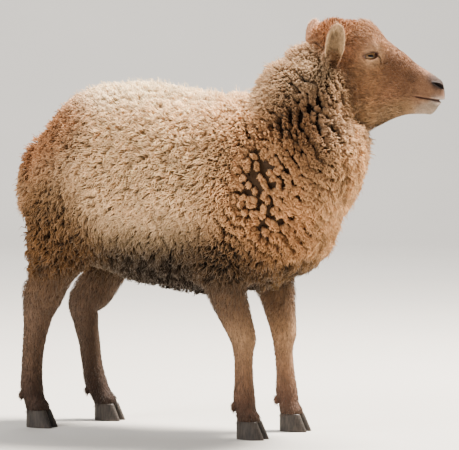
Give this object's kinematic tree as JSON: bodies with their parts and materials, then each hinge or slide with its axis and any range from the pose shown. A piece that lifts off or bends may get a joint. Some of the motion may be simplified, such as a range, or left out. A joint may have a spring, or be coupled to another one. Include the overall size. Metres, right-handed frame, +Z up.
{
  "type": "soay sheep",
  "caption": "Life-size museum model of a polled Soay ewe in thick curly brown fleece, standing with her head raised and turned to her left.",
  "frame": {"origin": "centre of the bounding box's footprint, on the floor under the hooves", "axes": "+X forwards towards the breast, +Y to the ewe's own left, +Z up"},
  "size_m": [0.7385, 0.3158, 0.7061],
  "materials": {
    "body_fleece": "thick curly wool, pale tips over a brown ground",
    "neck_fleece": "knobbly curls with dark clefts between them",
    "face_hair": "short grizzled brown hair",
    "ear_hair": "short fine hair, buff inside",
    "foreleg_hair": "short mid-brown hair",
    "hindleg_hair": "short dark brown hair, woolly over the thigh",
    "horn": "dark dull horn",
    "eye": "wet amber eye with a level dark pupil"
  },
  "bodies": {
    "root": {"head": "face_hair", "ear_left": "ear_hair", "ear_right": "ear_hair", "eye_left": "eye", "eye_right": "eye", "neck": "neck_fleece", "torso": "body_fleece", "tail": "body_fleece", "foreleg_left": "foreleg_hair", "foreleg_right": "foreleg_hair", "thigh_left": "body_fleece", "thigh_right": "body_fleece", "hindleg_left": "hindleg_hair", "hindleg_right": "hindleg_hair", "fore_hoof_left_inner": "horn", "fore_hoof_left_outer": "horn", "fore_hoof_right_inner": "horn", "fore_hoof_right_outer": "horn", "hind_hoof_left_inner": "horn", "hind_hoof_left_outer": "horn", "hind_hoof_right_inner": "horn", "hind_hoof_right_outer": "horn"}
  },
  "joints": []
}
